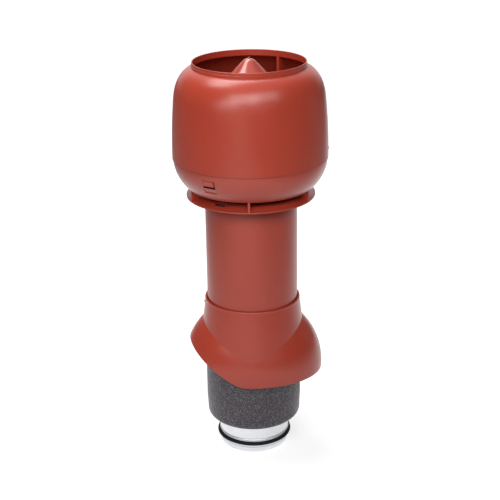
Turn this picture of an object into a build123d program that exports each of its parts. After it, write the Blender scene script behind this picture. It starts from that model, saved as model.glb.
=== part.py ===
from build123d import *
import math
import os

# Insulated roof vent pipe: a galvanised inner duct inside moulded foam, a red
# outer pipe, a roof skirt for a pitched roof and a rain hood with a deflector.
# Millimetres, +Z up. The origin is the centre of the duct's lower end.
# Bearings are degrees about +Z, measured from +X. The front is -Y.

# duct and gasket
DUCT_R = 62.5
DUCT_WALL = 0.8
DUCT_TOP = 531.0
DUCT_END_R = 59.5
DUCT_ROLL_H = 13.0
GROOVE_R = 61.2
GROOVE_LOW = 14.5
GROOVE_HIGH = 22.5
BEAD_Z = 26.0
BEAD_OUT = 0.8
GASKET_R = 67.2

# outer pipe
PIPE_R = 80.0
PIPE_WALL = 3.0
PIPE_TOP = 520.0

# foam insulation
FOAM_GAP = 0.1
FOAM_STEP = 5.0
FOAM_DRAFT = 1.9
FOAM_LOW = 55.5
FOAM_R = PIPE_R + FOAM_STEP
FOAM_END_R = FOAM_R - FOAM_DRAFT
FOAM_ROUND = 12.0
FOAM_SHOULDER = 196.0
FOAM_DRAFT_Z = 96.0

# roof skirt
SKIRT_WALL = 2.5
COLLAR_TOP = 287.5
COLLAR_STEP = 3.6
COLLAR_R = PIPE_R + COLLAR_STEP
CONE_SLOPE = 0.122
EQUATOR_Z = 159.5
DOME_RX = 124.0
DOME_RY = 99.2
SKIRT_LOW = 149.5
PITCH_START_X = -10.5
PITCH_ROUND = 50.0
PITCH_LOW_DEG = 27.2
PITCH_SWEEP_R = 400.0
PITCH_SWEEP_DEG = 17.0
SEAT_LOW = 271.5
SEAT_HIGH = 283.5
SLOT_Z = 264.0
SLOT_LENGTH = 9.0
SLOT_WIDTH = 4.0
MOUTH_GAP = 1.6

# hood, upper shell
HOOD_WALL = 2.5
SEAM_Z = 544.5
HOOD_RISE = 163.5
RIM_TOP = SEAM_Z + HOOD_RISE
RIM_R = 97.0
RIM_HIGH = 8.8
RIM_FOOT = RIM_TOP - RIM_HIGH
RIM_STEP = 0.6
SEAM_R = 133.2
SNAP_GAP = 0.3

# hood, lower bowl
BOWL_TOP_R = SEAM_R - 1.2
BOWL_DEPTH = 48.3
LIP_R = 110.0
LIP_Z = SEAM_Z - BOWL_DEPTH
TONGUE_R = SEAM_R - HOOD_WALL - SNAP_GAP
TONGUE_WALL = 2.0
TONGUE_TOP = SEAM_Z + 11.5

# snap latches between shell and bowl
LATCH_COUNT = 3
LATCH_BEARING = -122.5
LEG_WIDTH = 20.6
LEG_SHIFT = -0.8
LEG_OUT_R = TONGUE_R - TONGUE_WALL - 0.6
LEG_IN_R = LEG_OUT_R - 2.4
BARB_R = BOWL_TOP_R - 1.7
BARB_FOOT_R = BOWL_TOP_R - 4.2
BARB_LOW = SEAM_Z - 20.3
BARB_HIGH = SEAM_Z - 10.5
WINDOW_WIDTH = 23.4
WINDOW_LOW = SEAM_Z - 24.5
WINDOW_HIGH = SEAM_Z - 10.0
RELIEF_HIGH = 11.0

# vanes that carry the rain deflector
VANE_COUNT = 3
VANE_BEARING = 58.0
VANE_THICK = 5.0
VANE_R = 93.6
VANE_TOP = RIM_FOOT + 1.3

# rain deflector
CONE_R = 88.0
CONE_RATIO = 0.97
CONE_RIM = 6.2
CONE_SINK = 85.9
CONE_LOW = RIM_TOP - CONE_SINK
CONE_APEX = CONE_LOW + CONE_RIM + CONE_R / CONE_RATIO
CONE_NOSE_R = 15.5
CONE_WALL = 2.5

# hood base
DISH_R = 111.0
DISH_LOW = 476.8
DISH_THICK = 2.4
DISH_HUB_Z = 490.0
HUB_WALL = 3.0
HUB_R = PIPE_R + HUB_WALL
HUB_LOW = 468.0
BASE_PLATE = 3.0
RIB_BEARINGS = (-92.0, -28.5, 24.5, 88.0, 151.5, -155.5)
RIB_THICK = 3.6
RIB_R = 110.6
RIB_TOP = 508.0

os.makedirs("parts", exist_ok=True)


# Galvanised spigot duct. The end is rolled in, a groove holds the gasket and a
# small bead above it stops the gasket riding up.
with BuildPart() as inner_duct:
    with BuildSketch(Plane.XZ):
        with BuildLine():
            bore_r = DUCT_R - DUCT_WALL
            end_curve = ThreePointArc(
                (DUCT_END_R, 0),
                (DUCT_R - 0.9, 0.385 * DUCT_ROLL_H),
                (DUCT_R, DUCT_ROLL_H),
            )
            Polyline(
                end_curve @ 1,
                (DUCT_R, GROOVE_LOW),
                (GROOVE_R, GROOVE_LOW + 0.6),
                (GROOVE_R, GROOVE_HIGH - 0.6),
                (DUCT_R, GROOVE_HIGH),
                (DUCT_R, BEAD_Z - 1.4),
            )
            bead = ThreePointArc(
                (DUCT_R, BEAD_Z - 1.4),
                (DUCT_R + BEAD_OUT, BEAD_Z),
                (DUCT_R, BEAD_Z + 1.4),
            )
            Polyline(
                bead @ 1,
                (DUCT_R, DUCT_TOP),
                (bore_r, DUCT_TOP),
                (bore_r, GROOVE_HIGH + 0.5),
                (GROOVE_R - DUCT_WALL, GROOVE_HIGH - 0.4),
                (GROOVE_R - DUCT_WALL, GROOVE_LOW + 0.4),
                (bore_r, GROOVE_LOW - 0.5),
                (bore_r, DUCT_ROLL_H),
            )
            ThreePointArc(
                (bore_r, DUCT_ROLL_H),
                (bore_r - 0.9, 0.4 * DUCT_ROLL_H),
                (DUCT_END_R - DUCT_WALL, 0),
            )
            Line((DUCT_END_R - DUCT_WALL, 0), (DUCT_END_R, 0))
        make_face()
    revolve(axis=Axis.Z)


# Rubber lip gasket seated in the groove.
with BuildPart() as duct_gasket:
    with BuildSketch(Plane.XZ):
        with BuildLine():
            Polyline(
                (GASKET_R - 0.8, GROOVE_HIGH - 1.6),
                (DUCT_R + 0.9, GROOVE_HIGH - 0.3),
                (DUCT_R, GROOVE_HIGH - 0.1),
                (GROOVE_R, GROOVE_HIGH - 0.6),
                (GROOVE_R, GROOVE_LOW + 0.6),
                (DUCT_R, GROOVE_LOW + 0.1),
                (DUCT_R + 0.9, GROOVE_LOW + 0.5),
                (GASKET_R - 0.9, GROOVE_LOW + 2.5),
            )
            ThreePointArc(
                (GASKET_R - 0.9, GROOVE_LOW + 2.5),
                (GASKET_R, (GROOVE_LOW + GROOVE_HIGH) / 2 + 0.5),
                (GASKET_R - 0.8, GROOVE_HIGH - 1.6),
            )
        make_face()
    revolve(axis=Axis.Z)


# Moulded foam sleeve. The upper length fills the outer pipe; the pipe's lower
# end stands on the shoulder, and the rounded lower end lies below the roof.
with BuildPart() as insulation:
    with BuildSketch(Plane.XZ):
        with BuildLine():
            core_r = PIPE_R - PIPE_WALL - FOAM_GAP
            Polyline(
                (DUCT_R, FOAM_LOW),
                (DUCT_R, PIPE_TOP),
                (core_r, PIPE_TOP),
                (core_r, FOAM_SHOULDER),
                (FOAM_R, FOAM_SHOULDER),
                (FOAM_R, FOAM_DRAFT_Z),
                (FOAM_END_R, FOAM_LOW),
                (DUCT_R, FOAM_LOW),
            )
        make_face()
    revolve(axis=Axis.Z)
    outer_low = insulation.edges().filter_by(GeomType.CIRCLE).group_by(Axis.Z)[0]
    fillet(outer_low.sort_by(SortBy.RADIUS)[-1], radius=FOAM_ROUND)


# Red outer pipe.
with BuildPart() as outer_pipe:
    with BuildSketch(Plane.XY.offset(FOAM_SHOULDER)):
        Circle(PIPE_R)
        Circle(PIPE_R - PIPE_WALL, mode=Mode.SUBTRACT)
    extrude(amount=PIPE_TOP - FOAM_SHOULDER)


# Roof skirt. A tapered collar runs down into an oblate dome that is a surface
# of revolution about the level Y axis, so that it sits alike on any pitch.
# The two forms meet in a crease that is faint at the front and deep at the sides.
def skirt_form(inset):
    low_z = EQUATOR_Z + 0.12 * DOME_RX
    foot_r = COLLAR_R + CONE_SLOPE * (COLLAR_TOP - low_z) - inset
    with BuildPart() as dome:
        Sphere(DOME_RX - inset)
        scale(by=(1, (DOME_RY - inset) / (DOME_RX - inset), 1))
    with BuildPart() as form:
        with BuildSketch(Plane.XZ):
            Polygon(
                (0, low_z),
                (foot_r, low_z),
                (COLLAR_R - inset, COLLAR_TOP),
                (0, COLLAR_TOP),
                align=None,
            )
        revolve(axis=Axis.Z)
        with Locations((0, 0, EQUATOR_Z)):
            add(dome.part)
    return form.part


# Everything above the skirt's lower edge: level on the +X side, then rising
# towards -X with the roof pitch, a little steeper towards the end.
with BuildPart() as above_roof:
    with BuildSketch(Plane.XZ):
        reach = 1.6 * DOME_RX
        with BuildLine():
            low_edge = Line((reach, SKIRT_LOW), (PITCH_START_X, SKIRT_LOW))
            turn_up = JernArc(low_edge @ 1, low_edge % 1, PITCH_ROUND, -PITCH_LOW_DEG)
            high_edge = JernArc(turn_up @ 1, turn_up % 1, PITCH_SWEEP_R, -PITCH_SWEEP_DEG)
            outside = high_edge @ 1 + (high_edge % 1) * (0.4 * reach)
            Polyline(
                high_edge @ 1,
                outside,
                (outside.X, 1.4 * COLLAR_TOP),
                (reach, 1.4 * COLLAR_TOP),
                (reach, SKIRT_LOW),
            )
        make_face()
    extrude(amount=2 * DOME_RY, both=True)

skirt_outer = skirt_form(0.0)
skirt_inner = skirt_form(SKIRT_WALL)

with BuildPart() as roof_skirt:
    add(skirt_outer)
    add(skirt_inner, mode=Mode.SUBTRACT)
    # wall thickened to a seat that grips the pipe, with an open mouth above
    with BuildSketch(Plane.XZ):
        seat_r = COLLAR_R + CONE_SLOPE * (COLLAR_TOP - SEAT_LOW)
        Polygon(
            (PIPE_R, SEAT_LOW),
            (seat_r - 1.0, SEAT_LOW),
            (COLLAR_R - 1.0, COLLAR_TOP),
            (PIPE_R + MOUTH_GAP, COLLAR_TOP),
            (PIPE_R + MOUTH_GAP, SEAT_HIGH),
            (PIPE_R, SEAT_HIGH - 1.0),
            align=None,
        )
    revolve(axis=Axis.Z)
    with Locations((0, 0, COLLAR_TOP)):
        Cylinder(PIPE_R + MOUTH_GAP, 2 * (COLLAR_TOP - SEAT_HIGH), mode=Mode.SUBTRACT)
    add(above_roof.part, mode=Mode.INTERSECT)
    # slot for the fixing screw on the +X side of the collar
    with BuildSketch(Plane.YZ):
        with Locations((0, SLOT_Z)):
            SlotOverall(SLOT_LENGTH, SLOT_WIDTH, rotation=90)
    extrude(amount=DOME_RX, mode=Mode.SUBTRACT)
    lip_wall = COLLAR_STEP - MOUTH_GAP
    lip = roof_skirt.edges().filter_by(GeomType.CIRCLE).group_by(Axis.Z)[-1]
    fillet(lip.sort_by(SortBy.RADIUS)[-1], radius=0.65 * lip_wall)
    lip = roof_skirt.edges().filter_by(GeomType.CIRCLE).group_by(Axis.Z)[-1]
    fillet(lip.sort_by(SortBy.RADIUS)[0], radius=0.2 * lip_wall)


# Outer line of the hood shell, from the foot of the rim down to the seam.
with BuildLine() as bulb_line:
    swell = SEAM_R - RIM_R
    drop = RIM_FOOT - SEAM_Z
    Spline(
        (RIM_R, RIM_FOOT),
        (RIM_R + 0.521 * swell, RIM_FOOT - 0.092 * drop),
        (RIM_R + 0.791 * swell, RIM_FOOT - 0.231 * drop),
        (RIM_R + 0.883 * swell, RIM_FOOT - 0.383 * drop),
        (RIM_R + 0.934 * swell, RIM_FOOT - 0.537 * drop),
        (RIM_R + 0.970 * swell, RIM_FOOT - 0.691 * drop),
        (RIM_R + 0.992 * swell, RIM_FOOT - 0.846 * drop),
        (SEAM_R, SEAM_Z),
    )
bulb_curve = bulb_line.edges()[0]


def drawn_in(curve, distance, samples):
    """Points on the line that lies the distance inside the curve."""
    points = []
    for t in samples:
        run = curve % t
        points.append(curve @ t + Vector(run.Y, -run.X) * distance)
    return points


# One vane: a plate on the shell's inner wall, notched for the deflector's rim.
with BuildPart() as vane:
    with BuildSketch(Plane.XZ):
        with BuildLine():
            buried = drawn_in(bulb_curve, HOOD_WALL / 2, (0.04, 0.15, 0.29, 0.43, 0.57, 0.71, 0.86, 1.0))
            wall_line = Spline(*buried)
            Polyline(
                wall_line @ 1,
                (0, SEAM_Z),
                (0, VANE_TOP),
                (VANE_R + 2.0, VANE_TOP),
                wall_line @ 0,
            )
        make_face()
        Polygon(
            (VANE_R, VANE_TOP),
            (VANE_R, CONE_LOW + 21.6),
            (CONE_R + SNAP_GAP, CONE_LOW + 11.6),
            (CONE_R + SNAP_GAP, CONE_LOW),
            (CONE_R - CONE_WALL - SNAP_GAP, CONE_LOW),
            (CONE_R - CONE_WALL - SNAP_GAP, CONE_LOW + 4.0),
            (CONE_R - CONE_WALL - 3.0, CONE_LOW + 4.0),
            (CONE_R - CONE_WALL - 3.0, CONE_LOW - 8.0),
            (SEAM_R - 9.2, SEAM_Z + 21.5),
            (SEAM_R + 20.0, SEAM_Z + 21.5),
            (SEAM_R + 20.0, VANE_TOP),
            align=None,
            mode=Mode.INTERSECT,
        )
    extrude(amount=VANE_THICK / 2, both=True)

# One snap leg: a strap inside the bowl. Its wedge-shaped barb catches under the
# top of the window and lies flush with the bowl.
with BuildPart() as snap_leg:
    with BuildSketch(Plane.XZ):
        Polygon(
            (LEG_IN_R, TONGUE_TOP + 12.0),
            (LEG_IN_R, BARB_LOW),
            (BARB_FOOT_R, BARB_LOW),
            (BARB_R, BARB_HIGH - 1.0),
            (BARB_R - 0.8, BARB_HIGH),
            (LEG_OUT_R, BARB_HIGH),
            (LEG_OUT_R, TONGUE_TOP + 1.0),
            (SEAM_R - 1.0, TONGUE_TOP + 1.0),
            (SEAM_R - 1.0, TONGUE_TOP + 12.0),
            align=None,
        )
    extrude(amount=LEG_WIDTH / 2, both=True)

# Hood shell: the bulb's wall, open at the rim and at the seam.
with BuildPart() as hood_shell:
    with BuildSketch(Plane.XZ):
        with BuildLine():
            collar_in = RIM_R - HOOD_WALL
            inside = drawn_in(bulb_curve, HOOD_WALL, (0.1, 0.2, 0.3, 0.43, 0.57, 0.71, 0.86, 1.0))
            inside[-1] = Vector(SEAM_R - HOOD_WALL, SEAM_Z)
            step_z = RIM_TOP - 0.57 * RIM_HIGH
            Polyline(
                (collar_in, RIM_FOOT - 2.2),
                (collar_in, RIM_TOP),
                (RIM_R - RIM_STEP, RIM_TOP),
                (RIM_R - RIM_STEP, step_z + 0.4),
                (RIM_R, step_z),
                bulb_curve @ 0,
            )
            add(bulb_curve)
            Line(bulb_curve @ 1, inside[-1])
            Spline((collar_in, RIM_FOOT - 2.2), *inside)
        make_face()
    revolve(axis=Axis.Z)
    rim_edges = hood_shell.edges().filter_by(GeomType.CIRCLE).group_by(Axis.Z)[-1]
    fillet(rim_edges, radius=0.8)
    with PolarLocations(0, VANE_COUNT, start_angle=VANE_BEARING):
        add(vane.part)
    with PolarLocations(0, LATCH_COUNT, start_angle=LATCH_BEARING):
        with Locations((0, LEG_SHIFT, 0)):
            add(snap_leg.part)
    seam_edge = hood_shell.edges().filter_by(GeomType.CIRCLE).group_by(SortBy.RADIUS)[-1]
    fillet(seam_edge.sort_by(Axis.Z)[0], radius=0.5)


# Latch opening in the bowl, with a shallow finger relief under it.
with BuildPart() as latch_cut:
    with Locations((SEAM_R - 8.2, 0, (WINDOW_LOW + WINDOW_HIGH) / 2)):
        Box(WINDOW_WIDTH, WINDOW_WIDTH, WINDOW_HIGH - WINDOW_LOW)
    relief_plane = Plane(
        origin=(SEAM_R - 10.2, 0, WINDOW_LOW - 4.2),
        x_dir=(0, 1, 0),
        z_dir=(math.sin(math.radians(57)), 0, -math.cos(math.radians(57))),
    )
    with BuildSketch(relief_plane):
        Rectangle(WINDOW_WIDTH, RELIEF_HIGH)
    extrude(amount=6.0)

# Hood bowl: the underside of the hood, with a tongue that enters the shell.
with BuildPart() as hood_bowl:
    with BuildSketch(Plane.XZ):
        with BuildLine():
            tuck = BOWL_TOP_R - LIP_R
            Polyline((0, SEAM_Z), (BOWL_TOP_R, SEAM_Z))
            Spline(
                (BOWL_TOP_R, SEAM_Z),
                (BOWL_TOP_R - 0.085 * tuck, SEAM_Z - 0.269 * BOWL_DEPTH),
                (BOWL_TOP_R - 0.298 * tuck, SEAM_Z - 0.549 * BOWL_DEPTH),
                (BOWL_TOP_R - 0.618 * tuck, SEAM_Z - 0.791 * BOWL_DEPTH),
                (LIP_R, LIP_Z),
                tangents=((-0.03, -1.0), (-0.66, -0.75)),
            )
            Polyline((LIP_R, LIP_Z), (0, LIP_Z), (0, SEAM_Z))
        make_face()
    revolve(axis=Axis.Z)
    offset(amount=-HOOD_WALL, openings=hood_bowl.faces().filter_by(Axis.Z))
    with BuildSketch(Plane.XZ):
        tongue_low = SEAM_Z - 6.0
        with Locations((TONGUE_R - TONGUE_WALL / 2, (tongue_low + TONGUE_TOP) / 2)):
            Rectangle(TONGUE_WALL, TONGUE_TOP - tongue_low)
    revolve(axis=Axis.Z)
    top_edge = hood_bowl.edges().filter_by(GeomType.CIRCLE).group_by(SortBy.RADIUS)[-1]
    fillet(top_edge.sort_by(Axis.Z)[-1], radius=0.7)
    with PolarLocations(0, LATCH_COUNT, start_angle=LATCH_BEARING):
        add(latch_cut.part, mode=Mode.SUBTRACT)


# Rain deflector: a blunt cone with a short rim, moulded hollow.
with BuildPart() as rain_cone:
    nose_angle = math.atan(CONE_RATIO)
    nose_z = CONE_APEX - CONE_NOSE_R / math.sin(nose_angle)
    touch_r = CONE_NOSE_R * math.cos(nose_angle)
    touch_z = nose_z + CONE_NOSE_R * math.sin(nose_angle)
    mid_angle = (math.pi / 2 + nose_angle) / 2
    with BuildSketch(Plane.XZ):
        with BuildLine():
            Polyline(
                (0, nose_z + CONE_NOSE_R),
                (0, CONE_LOW),
                (CONE_R, CONE_LOW),
                (CONE_R, CONE_LOW + CONE_RIM),
                (touch_r, touch_z),
            )
            ThreePointArc(
                (touch_r, touch_z),
                (CONE_NOSE_R * math.cos(mid_angle), nose_z + CONE_NOSE_R * math.sin(mid_angle)),
                (0, nose_z + CONE_NOSE_R),
            )
        make_face()
    revolve(axis=Axis.Z)
    offset(amount=-CONE_WALL, openings=rain_cone.faces().filter_by(Axis.Z).sort_by(Axis.Z)[0])
    # moulding gate nub on the nose
    with Locations((0, 0, nose_z + CONE_NOSE_R + 0.4)):
        Cylinder(1.8, 2.4)


# Outline of one rib: it stands on the dish, carries the bowl's lip on its
# shoulder and hooks over the lip's inner edge.
with BuildPart() as base_rib:
    with BuildSketch(Plane.XZ):
        Polygon(
            (HUB_R - 1.0, DISH_HUB_Z - 2.0),
            (RIB_R, DISH_LOW + 1.4),
            (RIB_R, LIP_Z),
            (LIP_R - 3.7, LIP_Z),
            (LIP_R - 3.7, LIP_Z + 2.2),
            (LIP_R - 2.3, LIP_Z + 3.2),
            (LIP_R - 4.0, RIB_TOP),
            (HUB_R - 1.0, RIB_TOP),
            align=None,
        )
    extrude(amount=RIB_THICK / 2, both=True)

# Hood base: a dished disc on a hub that caps the pipe, with radial ribs.
with BuildPart() as hood_base:
    dish_mid_r = (DISH_R + HUB_R) / 2
    dish_mid_z = DISH_LOW + 0.29 * (DISH_HUB_Z - DISH_LOW)
    with BuildSketch(Plane.XZ):
        with BuildLine():
            Polyline(
                (DISH_R, DISH_LOW),
                (DISH_R, DISH_LOW + DISH_THICK),
                (DISH_R - 2.0, DISH_LOW + DISH_THICK),
            )
            ThreePointArc(
                (DISH_R - 2.0, DISH_LOW + DISH_THICK),
                (dish_mid_r, dish_mid_z + DISH_THICK),
                (HUB_R, DISH_HUB_Z),
            )
            Polyline(
                (HUB_R, DISH_HUB_Z),
                (HUB_R, PIPE_TOP + BASE_PLATE),
                (DUCT_R, PIPE_TOP + BASE_PLATE),
                (DUCT_R, PIPE_TOP),
                (PIPE_R, PIPE_TOP),
                (PIPE_R, HUB_LOW),
                (HUB_R, HUB_LOW),
                (HUB_R, DISH_HUB_Z - DISH_THICK),
            )
            ThreePointArc(
                (HUB_R, DISH_HUB_Z - DISH_THICK),
                (dish_mid_r, dish_mid_z),
                (DISH_R - 2.0, DISH_LOW),
            )
            Line((DISH_R - 2.0, DISH_LOW), (DISH_R, DISH_LOW))
        make_face()
    revolve(axis=Axis.Z)
    for bearing in RIB_BEARINGS:
        add(base_rib.part.rotate(Axis.Z, bearing))
    # three openings in the dish under the snap latches
    with PolarLocations(0, LATCH_COUNT, start_angle=LATCH_BEARING):
        with Locations(((DISH_R + HUB_R) / 2 - 2.5, 0, DISH_LOW + 8.0)):
            Box(10.0, 20.0, 18.0, mode=Mode.SUBTRACT)


for piece, label in (
    (inner_duct, "inner_duct"),
    (duct_gasket, "duct_gasket"),
    (insulation, "insulation"),
    (outer_pipe, "outer_pipe"),
    (roof_skirt, "roof_skirt"),
    (hood_base, "hood_base"),
    (hood_bowl, "hood_bowl"),
    (hood_shell, "hood_shell"),
    (rain_cone, "rain_cone"),
):
    piece.part.label = label
    export_step(piece.part, f"parts/{label}.step")
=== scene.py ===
import math

import bpy
from mathutils import Matrix, Vector


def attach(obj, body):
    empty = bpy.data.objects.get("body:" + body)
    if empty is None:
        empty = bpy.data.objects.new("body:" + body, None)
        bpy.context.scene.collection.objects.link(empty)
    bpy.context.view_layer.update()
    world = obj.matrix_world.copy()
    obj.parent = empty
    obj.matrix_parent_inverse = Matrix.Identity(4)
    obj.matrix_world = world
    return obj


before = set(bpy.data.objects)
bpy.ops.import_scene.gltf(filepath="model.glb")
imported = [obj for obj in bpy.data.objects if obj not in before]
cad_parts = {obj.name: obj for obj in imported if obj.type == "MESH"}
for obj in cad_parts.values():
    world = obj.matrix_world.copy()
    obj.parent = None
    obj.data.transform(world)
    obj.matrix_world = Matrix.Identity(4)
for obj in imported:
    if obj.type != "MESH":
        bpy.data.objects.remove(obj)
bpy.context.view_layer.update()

MM = 0.001

# Heights, radii and widths in mm that the finishes go by.
SEAM_Z = 544.5                 # joint between the hood's shell and its bowl
SEAM_LINE = (0.5, 1.2)         # half width of the dark joint line, partly painted shadow under the shell's edge, and where it fades out
SEAM_FADE_X = (-80.0, 100.0)   # the line fades from left to right
RIM_FOOT_Z = 698.0             # foot of the hood's rim
VANE_EDGE_R = 94.2             # inner edges of the hood's vanes
INWARD_REACH = -50.0           # outward reach below which a wall looks inwards
HUB_SHADE_R = (87.0, 95.0)     # painted shade round the hub of the hood's base
LATCH_SHADOW_Z = (516.0, 525.0)  # painted shadow at the top of the latches' slots
PIPE_SHADE_Z = (446.0, 485.0)  # painted shade where the pipe goes up under the hood
DUCT_LINES_Z = (27.8, 11.6)    # edges of the duct's two rolled beads
DUCT_LINE = (0.3, 0.9)         # half width of their painted shade lines, and where they fade out

# Share of its own colour that a surface keeps where its painted shade or dark line is
# darkest.
SEAM_LEAST = 0.45
SHELL_LEAST = 0.55
BASE_LEAST = 0.2
PIPE_LEAST = 0.25
DUCT_LEAST = 0.35
SEAM_FADE_RIGHT = 0.75           # share of the joint line that is gone at the right

# Pattern scales: cells in a metre, and the moulds' grain in mm.
MOULD_CLOUDS = 9.0             # pigment clouds about 110 mm across
PIPE_CLOUDS = 16.0             # and about 60 mm across on the pipe
DIE_LINES = 420.0              # 2.4 mm apart, coarser than real, so that they show
BEADS = 680.0                  # beads of about 1.5 mm
SPANGLES = 110.0               # zinc crystals of about 9 mm
BLOOM = 90.0                   # cloudy patches of about 11 mm on the rubber
WEAR = 900.0                   # worn specks of about 1 mm
GRAIN_MM = 1.1                 # coarser than real, so that the grain shows

# Colours in sRGB, each pair from the deeper to the paler tone.
MOULDED_TONES = ("#AA3C2B", "#B0402D")
PIPE_TONES = ("#A63B29", "#AC3F2C")
# The joint line's colour: partly a dark joint, partly painted shadow under the shell's
# edge.
SEAM_DUST_AND_SHADE = "#3A0F0B"
# Painted shade inside and under the hood, and on the pipe beneath it:
HOOD_PAINTED_SHADE = "#150403"
PIPE_PAINTED_SHADE = "#160503"
BEAD_TONES = ("#262127", "#3E3840", "#8A8289")
BEAD_MIDDLE = 0.6              # share of the beads that are darker than the middle tone
BEAD_SEAM = "#29242A"
FOAM_SKIN = "#E8E4E8"
ZINC_TONES = ("#DADBDE", "#DFE0E3")
# Painted shade lines at the steel's rolled beads:
ZINC_BEAD_SHADE = "#6A6C74"
RUBBER_TONES = ("#0F0F15", "#181820")
LACQUER_TONES = ("#3A1A14", "#5A2A20")
PAPER_GREY = "#C8C8C8"
WHITE = (1.0, 1.0, 1.0, 1.0)

# Roughness, specular level and IOR of the reds.
MOULDED_SHINE = 0.29
CONE_SHINE = 0.24
PIPE_SHINE = 0.33
PLAIN_GLOSS = 0.5
CONE_GLOSS = 0.9
HOOD_SHADE_GLOSS = 0.1
PIPE_SHADE_GLOSS = 0.05
POLYPROPYLENE_IOR = 1.49

# Small pieces, in mm and degrees.
LIP_R = 82.95
LIP_Z = 285.5
LIP_THICK = 2.9
LIP_TALL = 4.6
LIP_SIDES = 20
LIP_STEPS = 160
SCREW_BEARING = 180.0
SCREW_R = 85.5                 # half a millimetre off the collar's wall
SCREW_Z = 276.0
SCREW_HEAD_R = 2.5
SCREW_HEAD_TALL = 0.9
SCREW_HEAD_EDGE = 0.5
SCREW_SOCKET_INSET = 0.7
SCREW_SOCKET_DEEP = 0.6
SCREW_SHANK_INSET = 1.1
SCREW_SHANK_LONG = 2.6
PIP_BEARING = 1.0
PIP_R = 132.6
PIP_Z = 556.0
PIP_SIZE = (5.6, 5.0, 3.0)
PIP_EDGE = 1.2
SMOOTH_ANGLE = 35.0
SAME_LEVEL = 0.001
DOUBLES = 0.01

# Studio paper, in metres: how far aside it is bright and where it is dim.
FLOOR_SIZE = 40.0
FLOOR_ASIDE = (0.4, 1.3)
FLOOR_DIM = 0.12
FLOOR_SKEW = -0.25             # the bright strip of floor turns a little
SHADOW_REACH = (0.15, 0.9)     # from the foot to where the floor is plain white
SHADOW_LEVEL = 0.66
WORLD_ASIDE = (0.3, 0.8)
WORLD_DIM = 0.15

# Soft boxes: name, place, point they look at, size in m, and power in W.
LAMPS = (
    ("front left soft box", (-0.95, -1.65, 1.15), (0, 0, 0.40), (0.9, 0.7), 6.2),
    ("front middle soft box", (-0.20, -1.25, 1.35), (0, 0, 0.52), (1.0, 0.6), 9.3),
    ("front right soft box", (0.70, -1.56, 1.83), (0, 0, 0.45), (1.5, 0.9), 12.8),
    ("low left soft box", (-1.50, -1.50, 1.02), (0, 0, 0.45), (0.8, 0.6), 1.5),
    ("top soft box", (-0.5, 0.45, 2.4), (0, 0, 0.60), (2.0, 0.9), 40.0),
)
BOUNCE = ("right paper bounce", (1.70, 0.60, 0.45), (0, 0, 0.35), (0.8, 0.6), 4.5)

# Camera, in mm and degrees, fitted to the outlines in the photograph.
CAMERA_X = -3.1
CAMERA_Y = -1954.3
CAMERA_Z = 1121.9
CAMERA_PITCH = 21.0
CAMERA_ROLL = -0.85
FOCAL_PX = 1190.0
FRAME_PX = 500.0
SENSOR = 36.0
CLIP_END = 100.0


def linear(hex_colour):
    """An sRGB hex colour as the linear colour that the shaders take."""
    channels = []
    for i in (1, 3, 5):
        c = int(hex_colour[i:i + 2], 16) / 255.0
        channels.append(c / 12.92 if c <= 0.04045 else ((c + 0.055) / 1.055) ** 2.4)
    return (*channels, 1.0)


def new_material(name):
    """An empty material with only its output and main shader."""
    material = bpy.data.materials.new(name)
    material.use_nodes = True
    return material, material.node_tree, material.node_tree.nodes["Principled BSDF"]


def plug(tree, node, inputs):
    """Sets each input of a node, or links it where the value is a socket."""
    for key, value in inputs.items():
        if isinstance(value, bpy.types.NodeSocket):
            tree.links.new(value, node.inputs[key])
        else:
            node.inputs[key].default_value = value


def add_node(tree, kind, inputs=None, **settings):
    """Adds one node, sets its options, and sets or links its inputs."""
    node = tree.nodes.new(kind)
    for key, value in settings.items():
        setattr(node, key, value)
    plug(tree, node, inputs or {})
    return node


def deselect_all():
    bpy.ops.object.select_all(action="DESELECT")


def object_coordinates(tree, scale=(1.0, 1.0, 1.0)):
    """Object coordinates in metres, stretched where a pattern follows one axis."""
    place = add_node(tree, "ShaderNodeTexCoord")
    mapping = add_node(tree, "ShaderNodeMapping", {
        "Vector": place.outputs["Object"], "Scale": scale})
    return mapping.outputs["Vector"]


def off_line(tree, height, z, width):
    """0 on a level line at height z and 1 away from it, all in mm."""
    above = add_node(tree, "ShaderNodeMath", {
        0: height, 1: z * MM}, operation="SUBTRACT")
    off = add_node(tree, "ShaderNodeMath", {
        0: above.outputs["Value"]}, operation="ABSOLUTE")
    line = add_node(tree, "ShaderNodeMapRange", {
        "Value": off.outputs["Value"],
        "From Min": width[0] * MM, "From Max": width[1] * MM},
        interpolation_type="SMOOTHSTEP")
    return line.outputs["Result"]


def darkened(tree, keep, colour, dark, least):
    """A colour that turns towards a dark one where keep falls from 1 to 0."""
    share = add_node(tree, "ShaderNodeMapRange", {"Value": keep, "To Min": least})
    mixed = add_node(tree, "ShaderNodeMix", {
        "Factor": share.outputs["Result"], "A": linear(dark), "B": colour},
        data_type="RGBA")
    return mixed.outputs["Result"]


def shade_inside_the_hood(tree, height):
    """Painted shade: 0 on the walls below the rim that look towards the axis, 1 elsewhere
    and on the vanes, whose edges stand clear of the wall."""
    place = add_node(tree, "ShaderNodeTexCoord")
    level = object_coordinates(tree, (1.0, 1.0, 0.0))
    outward = add_node(tree, "ShaderNodeVectorMath", {
        0: level, 1: place.outputs["Normal"]}, operation="DOT_PRODUCT")
    reach = add_node(tree, "ShaderNodeVectorMath", {0: level}, operation="LENGTH")
    keep = add_node(tree, "ShaderNodeMath", {
        0: outward.outputs["Value"], 1: INWARD_REACH * MM}, operation="GREATER_THAN")
    above = add_node(tree, "ShaderNodeMath", {
        0: height, 1: RIM_FOOT_Z * MM}, operation="GREATER_THAN")
    vane = add_node(tree, "ShaderNodeMath", {
        0: reach.outputs["Value"], 1: VANE_EDGE_R * MM}, operation="LESS_THAN")
    for also in (above, vane):
        keep = add_node(tree, "ShaderNodeMath", {
            0: keep.outputs["Value"], 1: also.outputs["Value"]}, operation="MAXIMUM")
    return keep.outputs["Value"]


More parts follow.
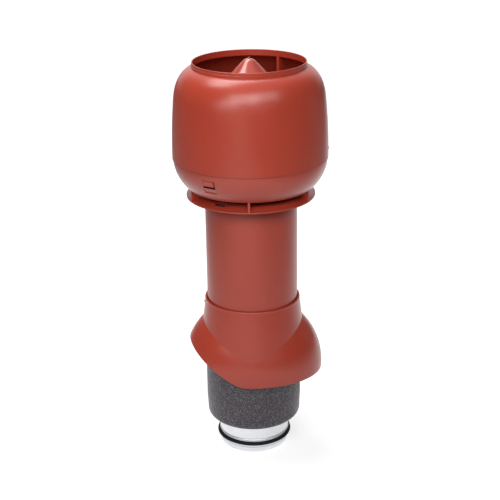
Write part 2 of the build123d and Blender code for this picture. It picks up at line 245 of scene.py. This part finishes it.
def shade_under_the_hood(tree, height):
    """Painted shadow: 0 round the hub and at the top of the latches' slots, 1 elsewhere.
    """
    reach = add_node(tree, "ShaderNodeVectorMath", {
        0: object_coordinates(tree, (1.0, 1.0, 0.0))}, operation="LENGTH")
    rim = add_node(tree, "ShaderNodeMapRange", {
        "Value": reach.outputs["Value"],
        "From Min": HUB_SHADE_R[0] * MM, "From Max": HUB_SHADE_R[1] * MM})
    below = add_node(tree, "ShaderNodeMapRange", {
        "Value": height,
        "From Min": LATCH_SHADOW_Z[0] * MM, "From Max": LATCH_SHADOW_Z[1] * MM,
        "To Min": 1.0, "To Max": 0.0})
    above = add_node(tree, "ShaderNodeMath", {
        0: height, 1: LATCH_SHADOW_Z[1] * MM}, operation="GREATER_THAN")
    slot = add_node(tree, "ShaderNodeMath", {
        0: below.outputs["Result"], 1: above.outputs["Value"]}, operation="MAXIMUM")
    keep = add_node(tree, "ShaderNodeMath", {
        0: rim.outputs["Result"], 1: slot.outputs["Value"]}, operation="MINIMUM")
    return keep.outputs["Value"]


def moulded_polypropylene(name, shine, gloss=PLAIN_GLOSS, shade_mask=None, least=1.0):
    """Injection-moulded polypropylene, through-coloured brick red. Its fine
    spark-eroded grain gives broad soft highlights, the pigment clouds a
    little where the melt flowed, and the hood's joint shows a dark line,
    partly painted shadow, that fades to the right. Painted shade also falls
    where the given mask says, and dulls the gloss there."""
    material, tree, surface = new_material(name)
    where = object_coordinates(tree)
    spot = add_node(tree, "ShaderNodeSeparateXYZ", {"Vector": where})
    cloud = add_node(tree, "ShaderNodeTexNoise", {
        "Vector": where, "Scale": MOULD_CLOUDS, "Detail": 2.0, "Roughness": 0.4})
    tone = add_node(tree, "ShaderNodeMapRange", {
        "Value": cloud.outputs["Fac"], "From Min": 0.2, "From Max": 0.8})
    deep, pale = MOULDED_TONES
    colour = add_node(tree, "ShaderNodeMix", {
        "Factor": tone.outputs["Result"], "A": linear(deep), "B": linear(pale)},
        data_type="RGBA")
    # The joint's dark line: partly a dark joint, partly painted shadow, fading from left
    # to right.
    fading = add_node(tree, "ShaderNodeMapRange", {
        "Value": spot.outputs["X"],
        "From Min": SEAM_FADE_X[0] * MM, "From Max": SEAM_FADE_X[1] * MM,
        "To Min": 0.0, "To Max": SEAM_FADE_RIGHT})
    joint = add_node(tree, "ShaderNodeMath", {
        0: off_line(tree, spot.outputs["Z"], SEAM_Z, SEAM_LINE),
        1: fading.outputs["Result"]}, operation="MAXIMUM")
    red = darkened(tree, joint.outputs["Value"], colour.outputs["Result"],
                   SEAM_DUST_AND_SHADE, SEAM_LEAST)
    # Painted shade from the mask darkens the red and dulls its gloss.
    if shade_mask:
        keep = shade_mask(tree, spot.outputs["Z"])
        red = darkened(tree, keep, red, HOOD_PAINTED_SHADE, least)
        matt = add_node(tree, "ShaderNodeMapRange", {
            "Value": keep, "To Min": HOOD_SHADE_GLOSS, "To Max": gloss})
        gloss = matt.outputs["Result"]
    grain = add_node(tree, "ShaderNodeTexNoise", {
        "Vector": where, "Scale": 1.0 / (GRAIN_MM * MM), "Detail": 2.0})
    relief = add_node(tree, "ShaderNodeBump", {
        "Height": grain.outputs["Fac"], "Strength": 0.05, "Distance": 0.3 * MM})
    polish = add_node(tree, "ShaderNodeMapRange", {
        "Value": cloud.outputs["Fac"], "From Min": 0.2, "From Max": 0.8,
        "To Min": shine - 0.02, "To Max": shine + 0.02})
    plug(tree, surface, {
        "Base Color": red, "Roughness": polish.outputs["Result"],
        "Normal": relief.outputs["Normal"], "IOR": POLYPROPYLENE_IOR,
        "Specular IOR Level": gloss})
    return material


def extruded_polypropylene(name, shine):
    """The outer pipe: extruded polypropylene with faint lines from the die
    along its length, a little duller than the mouldings. Its top, under the
    hood, is darkened and dulled with painted shade."""
    material, tree, surface = new_material(name)
    lines = add_node(tree, "ShaderNodeTexNoise", {
        "Vector": object_coordinates(tree, (1.0, 1.0, 0.02)),
        "Scale": DIE_LINES, "Detail": 3.0})
    cloud = add_node(tree, "ShaderNodeTexNoise", {
        "Vector": object_coordinates(tree, (1.0, 1.0, 0.3)),
        "Scale": PIPE_CLOUDS, "Detail": 3.0})
    deep, pale = PIPE_TONES
    colour = add_node(tree, "ShaderNodeMix", {
        "Factor": cloud.outputs["Fac"], "A": linear(deep), "B": linear(pale)},
        data_type="RGBA")
    spot = add_node(tree, "ShaderNodeSeparateXYZ", {"Vector": object_coordinates(tree)})
    # Painted shade: darker and duller towards the top, under the hood.
    unshaded = add_node(tree, "ShaderNodeMapRange", {
        "Value": spot.outputs["Z"],
        "From Min": PIPE_SHADE_Z[0] * MM, "From Max": PIPE_SHADE_Z[1] * MM,
        "To Min": 1.0, "To Max": 0.0}, interpolation_type="SMOOTHSTEP")
    red = darkened(tree, unshaded.outputs["Result"], colour.outputs["Result"],
                   PIPE_PAINTED_SHADE, PIPE_LEAST)
    matt = add_node(tree, "ShaderNodeMapRange", {
        "Value": unshaded.outputs["Result"],
        "To Min": PIPE_SHADE_GLOSS, "To Max": PLAIN_GLOSS})
    polish = add_node(tree, "ShaderNodeMapRange", {
        "Value": lines.outputs["Fac"], "To Min": shine - 0.05, "To Max": shine + 0.05})
    relief = add_node(tree, "ShaderNodeBump", {
        "Height": lines.outputs["Fac"], "Strength": 0.06, "Distance": 0.3 * MM})
    plug(tree, surface, {
        "Base Color": red, "Roughness": polish.outputs["Result"],
        "Normal": relief.outputs["Normal"], "IOR": POLYPROPYLENE_IOR,
        "Specular IOR Level": matt.outputs["Result"]})
    return material


def bead_foam(name):
    """Moulded bead foam: charcoal beads about 1.5 mm across, fused at their
    edges, some of them paler, with a dry matt skin that pales at a glance."""
    material, tree, surface = new_material(name)
    where = object_coordinates(tree)
    beads = add_node(tree, "ShaderNodeTexVoronoi", {
        "Vector": where, "Scale": BEADS, "Randomness": 1.0})
    edges = add_node(tree, "ShaderNodeTexVoronoi", {
        "Vector": where, "Scale": BEADS, "Randomness": 1.0}, feature="DISTANCE_TO_EDGE")
    each = add_node(tree, "ShaderNodeSeparateColor", {"Color": beads.outputs["Color"]})
    tone = add_node(tree, "ShaderNodeValToRGB", {"Fac": each.outputs["Red"]})
    dark, middle, pale = BEAD_TONES
    ramp = tone.color_ramp.elements
    ramp[0].color = linear(dark)
    ramp[1].color = linear(pale)
    ramp.new(BEAD_MIDDLE).color = linear(middle)
    bead = add_node(tree, "ShaderNodeMapRange", {
        "Value": edges.outputs["Distance"], "From Max": 0.12})
    colour = add_node(tree, "ShaderNodeMix", {
        "Factor": bead.outputs["Result"],
        "A": linear(BEAD_SEAM), "B": tone.outputs["Color"]}, data_type="RGBA")
    relief = add_node(tree, "ShaderNodeBump", {
        "Height": bead.outputs["Result"], "Strength": 0.35, "Distance": 0.6 * MM})
    plug(tree, surface, {
        "Base Color": colour.outputs["Result"], "Normal": relief.outputs["Normal"],
        "Roughness": 0.5, "IOR": 1.5,
        "Sheen Weight": 0.6, "Sheen Roughness": 0.3, "Sheen Tint": linear(FOAM_SKIN)})
    return material


def galvanised_steel(name):
    """Hot-dip galvanised sheet: bright and pale, with a faint spangle of zinc
    crystals, and a painted shade line at the edge of each rolled bead."""
    material, tree, surface = new_material(name)
    where = object_coordinates(tree)
    spot = add_node(tree, "ShaderNodeSeparateXYZ", {"Vector": where})
    spangle = add_node(tree, "ShaderNodeTexVoronoi", {"Vector": where, "Scale": SPANGLES})
    flake = add_node(tree, "ShaderNodeSeparateColor", {"Color": spangle.outputs["Color"]})
    deep, pale = ZINC_TONES
    mixed = add_node(tree, "ShaderNodeMix", {
        "Factor": flake.outputs["Red"], "A": linear(deep), "B": linear(pale)},
        data_type="RGBA")
    colour = mixed.outputs["Result"]
    # Painted shade lines at the edges of the rolled beads.
    for z in DUCT_LINES_Z:
        keep = off_line(tree, spot.outputs["Z"], z, DUCT_LINE)
        colour = darkened(tree, keep, colour, ZINC_BEAD_SHADE, DUCT_LEAST)
    polish = add_node(tree, "ShaderNodeMapRange", {
        "Value": flake.outputs["Green"], "To Min": 0.30, "To Max": 0.40})
    plug(tree, surface, {
        "Base Color": colour, "Roughness": polish.outputs["Result"], "Metallic": 1.0})
    return material


def gasket_rubber(name):
    """Moulded EPDM rubber: near black and matt, with hardly any sheen."""
    material, tree, surface = new_material(name)
    bloom = add_node(tree, "ShaderNodeTexNoise", {
        "Vector": object_coordinates(tree), "Scale": BLOOM, "Detail": 4.0})
    deep, pale = RUBBER_TONES
    colour = add_node(tree, "ShaderNodeMix", {
        "Factor": bloom.outputs["Fac"], "A": linear(deep), "B": linear(pale)},
        data_type="RGBA")
    plug(tree, surface, {
        "Base Color": colour.outputs["Result"], "Roughness": 0.7, "IOR": 1.52,
        "Specular IOR Level": 0.2})
    return material


def lacquered_steel(name):
    """Small fixings: steel with a dark red-brown lacquer, a little worn."""
    material, tree, surface = new_material(name)
    wear = add_node(tree, "ShaderNodeTexNoise", {
        "Vector": object_coordinates(tree), "Scale": WEAR, "Detail": 3.0})
    deep, pale = LACQUER_TONES
    colour = add_node(tree, "ShaderNodeMix", {
        "Factor": wear.outputs["Fac"], "A": linear(deep), "B": linear(pale)},
        data_type="RGBA")
    plug(tree, surface, {"Base Color": colour.outputs["Result"], "Roughness": 0.35})
    return material


HOOD_RED = moulded_polypropylene("moulded polypropylene brick red", MOULDED_SHINE)
# Shell and bowl carry painted shade on their inner walls; the base carries painted shadow
# round its hub and in the latches' slots.
SHELL_RED = moulded_polypropylene(
    "moulded polypropylene with painted shade inside", MOULDED_SHINE,
    shade_mask=shade_inside_the_hood, least=SHELL_LEAST)
BASE_RED = moulded_polypropylene(
    "moulded polypropylene with painted shade at the hub", MOULDED_SHINE,
    shade_mask=shade_under_the_hood, least=BASE_LEAST)
CONE_RED = moulded_polypropylene(
    "polished polypropylene brick red", CONE_SHINE, CONE_GLOSS)
PIPE_RED = extruded_polypropylene("extruded polypropylene brick red", PIPE_SHINE)
FOAM = bead_foam("charcoal bead foam")
STEEL = galvanised_steel("galvanised sheet steel")
RUBBER = gasket_rubber("EPDM gasket rubber")
FIXING = lacquered_steel("lacquered steel fixing")

FINISH = {
    "inner_duct": STEEL,
    "duct_gasket": RUBBER,
    "insulation": FOAM,
    "outer_pipe": PIPE_RED,
    "roof_skirt": HOOD_RED,
    "hood_base": BASE_RED,
    "hood_bowl": SHELL_RED,
    "hood_shell": SHELL_RED,
    "rain_cone": CONE_RED,
}

for node, material in FINISH.items():
    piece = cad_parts[node]
    piece.data.materials.clear()
    piece.data.materials.append(material)


def pick_cap(piece, top):
    """Selects the top or bottom cap of an upright piece in edit mode."""
    bpy.ops.object.mode_set(mode="OBJECT")
    heights = [face.center.z for face in piece.data.polygons]
    goal = max(heights) if top else min(heights)
    for face in piece.data.polygons:
        face.select = abs(face.center.z - goal) < SAME_LEVEL * MM
    bpy.ops.object.mode_set(mode="EDIT")
    bpy.ops.mesh.select_mode(type="FACE")


def placed(piece, bearing, reach, z, material):
    """Lays an upright piece on its side, pointing outwards at a bearing, and
    puts the move into its mesh."""
    bpy.ops.object.mode_set(mode="OBJECT")
    turn = math.radians(bearing)
    piece.rotation_euler = (0.0, math.radians(90.0), turn)
    piece.location = (reach * MM * math.cos(turn), reach * MM * math.sin(turn), z * MM)
    bpy.ops.object.transform_apply(location=True, rotation=True, scale=True)
    bpy.ops.object.shade_smooth_by_angle(angle=math.radians(SMOOTH_ANGLE))
    piece.data.materials.append(material)
    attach(piece, "root")


def collar_screw():
    """A low pan-head screw with a round socket, its shank in the collar."""
    deselect_all()
    bpy.ops.mesh.primitive_cylinder_add(
        vertices=40, radius=SCREW_HEAD_R * MM, depth=SCREW_HEAD_TALL * MM)
    screw = bpy.context.object
    screw.name = "collar_screw"
    pick_cap(screw, True)
    bpy.ops.mesh.bevel(offset=SCREW_HEAD_EDGE * MM, segments=3)
    pick_cap(screw, True)
    bpy.ops.mesh.inset(thickness=SCREW_SOCKET_INSET * MM)
    bpy.ops.mesh.extrude_region_move(
        TRANSFORM_OT_translate={"value": (0, 0, -SCREW_SOCKET_DEEP * MM)})
    pick_cap(screw, False)
    bpy.ops.mesh.inset(thickness=SCREW_SHANK_INSET * MM)
    bpy.ops.mesh.extrude_region_move(
        TRANSFORM_OT_translate={"value": (0, 0, -SCREW_SHANK_LONG * MM)})
    placed(screw, SCREW_BEARING, SCREW_R, SCREW_Z, FIXING)


def joint_pip():
    """The rounded pip beside the hood's joint that shows how it fits."""
    deselect_all()
    bpy.ops.mesh.primitive_cube_add(size=1.0)
    pip = bpy.context.object
    pip.name = "joint_pip"
    pip.scale = [side * MM for side in PIP_SIZE]
    bpy.ops.object.transform_apply(location=True, rotation=True, scale=True)
    bpy.ops.object.mode_set(mode="EDIT")
    bpy.ops.mesh.select_all(action="SELECT")
    bpy.ops.mesh.bevel(offset=PIP_EDGE * MM, segments=4)
    placed(pip, PIP_BEARING, PIP_R, PIP_Z, HOOD_RED)


def collar_lip():
    """The rounded lip on the collar's mouth, which carries a thin highlight."""
    deselect_all()
    bpy.ops.mesh.primitive_circle_add(
        vertices=LIP_SIDES, radius=LIP_THICK * MM / 2.0,
        location=(LIP_R * MM, 0.0, LIP_Z * MM),
        rotation=(math.radians(90.0), 0.0, 0.0))
    lip = bpy.context.object
    lip.name = "collar_lip"
    lip.scale = (1.0, LIP_TALL / LIP_THICK, 1.0)
    bpy.ops.object.transform_apply(location=True, rotation=True, scale=True)
    bpy.ops.object.mode_set(mode="EDIT")
    bpy.ops.mesh.select_all(action="SELECT")
    bpy.ops.mesh.spin(
        steps=LIP_STEPS, angle=math.radians(360.0), center=(0, 0, 0), axis=(0, 0, 1))
    bpy.ops.mesh.select_all(action="SELECT")
    bpy.ops.mesh.remove_doubles(threshold=DOUBLES * MM)
    bpy.ops.mesh.normals_make_consistent(inside=False)
    bpy.ops.object.mode_set(mode="OBJECT")
    bpy.ops.object.shade_smooth()
    lip.data.materials.append(HOOD_RED)
    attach(lip, "root")


collar_lip()
collar_screw()
joint_pip()


def paper_level(tree, off, aside, dim):
    """How white the studio paper looks: white to the camera, and in
    reflections bright close to the part and dim further off, in the room."""
    rays = add_node(tree, "ShaderNodeLightPath")
    mirrored = add_node(tree, "ShaderNodeMath", {
        0: rays.outputs["Is Glossy Ray"], 1: rays.outputs["Is Transmission Ray"]},
        operation="MAXIMUM")
    distance = add_node(tree, "ShaderNodeMath", {0: off}, operation="ABSOLUTE")
    paper = add_node(tree, "ShaderNodeMapRange", {
        "Value": distance.outputs["Value"], "From Min": aside[0], "From Max": aside[1],
        "To Min": 1.0, "To Max": dim}, interpolation_type="SMOOTHSTEP")
    reflected = add_node(tree, "ShaderNodeMath", {
        0: mirrored.outputs["Value"], 1: paper.outputs["Result"]}, operation="MULTIPLY")
    level = add_node(tree, "ShaderNodeMath", {
        0: reflected.outputs["Value"], 1: rays.outputs["Is Camera Ray"]},
        operation="MAXIMUM")
    return level.outputs["Value"]


def studio_floor():
    """A plain pale floor that keeps the part's shadow near its foot and turns
    to plain white further out."""
    deselect_all()
    bpy.ops.mesh.primitive_plane_add(size=FLOOR_SIZE, location=(0, 0, 0))
    floor = bpy.context.object
    floor.name = "studio_floor"
    material, tree, surface = new_material("studio paper")
    where = add_node(tree, "ShaderNodeTexCoord")
    reach = add_node(tree, "ShaderNodeVectorMath", {
        0: where.outputs["Object"]}, operation="LENGTH")
    fade = add_node(tree, "ShaderNodeMapRange", {
        "Value": reach.outputs["Value"],
        "From Min": SHADOW_REACH[0], "From Max": SHADOW_REACH[1],
        "To Min": SHADOW_LEVEL, "To Max": 1.0})
    spot = add_node(tree, "ShaderNodeSeparateXYZ", {"Vector": where.outputs["Object"]})
    off = add_node(tree, "ShaderNodeMath", {
        0: spot.outputs["Y"], 1: FLOOR_SKEW, 2: spot.outputs["X"]},
        operation="MULTIPLY_ADD")
    paper = paper_level(tree, off.outputs["Value"], FLOOR_ASIDE, FLOOR_DIM)
    level = add_node(tree, "ShaderNodeMath", {
        0: paper, 1: fade.outputs["Result"]}, operation="MULTIPLY")
    plug(tree, surface, {
        "Base Color": linear(PAPER_GREY), "Roughness": 1.0, "Specular IOR Level": 0.0,
        "Emission Color": WHITE, "Emission Strength": level.outputs["Value"]})
    floor.data.materials.append(material)


def studio_world():
    """White paper behind the part for the camera and for reflections, and a
    dimmer room to the sides."""
    world = bpy.data.worlds.new("studio")
    bpy.context.scene.world = world
    world.use_nodes = True
    tree = world.node_tree
    way = add_node(tree, "ShaderNodeTexCoord")
    split = add_node(tree, "ShaderNodeSeparateXYZ", {"Vector": way.outputs["Generated"]})
    plug(tree, tree.nodes["Background"], {
        "Color": WHITE,
        "Strength": paper_level(tree, split.outputs["X"], WORLD_ASIDE, WORLD_DIM)})


def soft_lamp(name, place, target, size, power):
    """A rectangular soft box that looks at a point."""
    lamp = bpy.data.lights.new(name, "AREA")
    lamp.shape = "RECTANGLE"
    lamp.size, lamp.size_y = size
    lamp.energy = power
    holder = bpy.data.objects.new(name, lamp)
    bpy.context.collection.objects.link(holder)
    holder.location = place
    look = Vector(target) - Vector(place)
    holder.rotation_euler = look.to_track_quat("-Z", "Y").to_euler()
    return holder


def camera():
    """The camera at the photograph's place, angle and frame."""
    lens = bpy.data.cameras.new("camera")
    lens.sensor_width = SENSOR
    lens.sensor_fit = "HORIZONTAL"
    lens.lens = FOCAL_PX / FRAME_PX * SENSOR
    lens.clip_end = CLIP_END
    holder = bpy.data.objects.new("camera", lens)
    bpy.context.collection.objects.link(holder)
    tilt = Matrix.Rotation(math.radians(90.0 - CAMERA_PITCH), 4, "X")
    roll = Matrix.Rotation(math.radians(CAMERA_ROLL), 4, "Z")
    place = Matrix.Translation(Vector((CAMERA_X, CAMERA_Y, CAMERA_Z)) * MM)
    holder.matrix_world = place @ tilt @ roll
    bpy.context.scene.camera = holder


studio_floor()
studio_world()
for lamp in LAMPS:
    soft_lamp(*lamp)
bounce = soft_lamp(*BOUNCE)
bounce.visible_glossy = False  # the world already draws the paper in reflections
camera()
bpy.context.scene.view_settings.view_transform = "Standard"
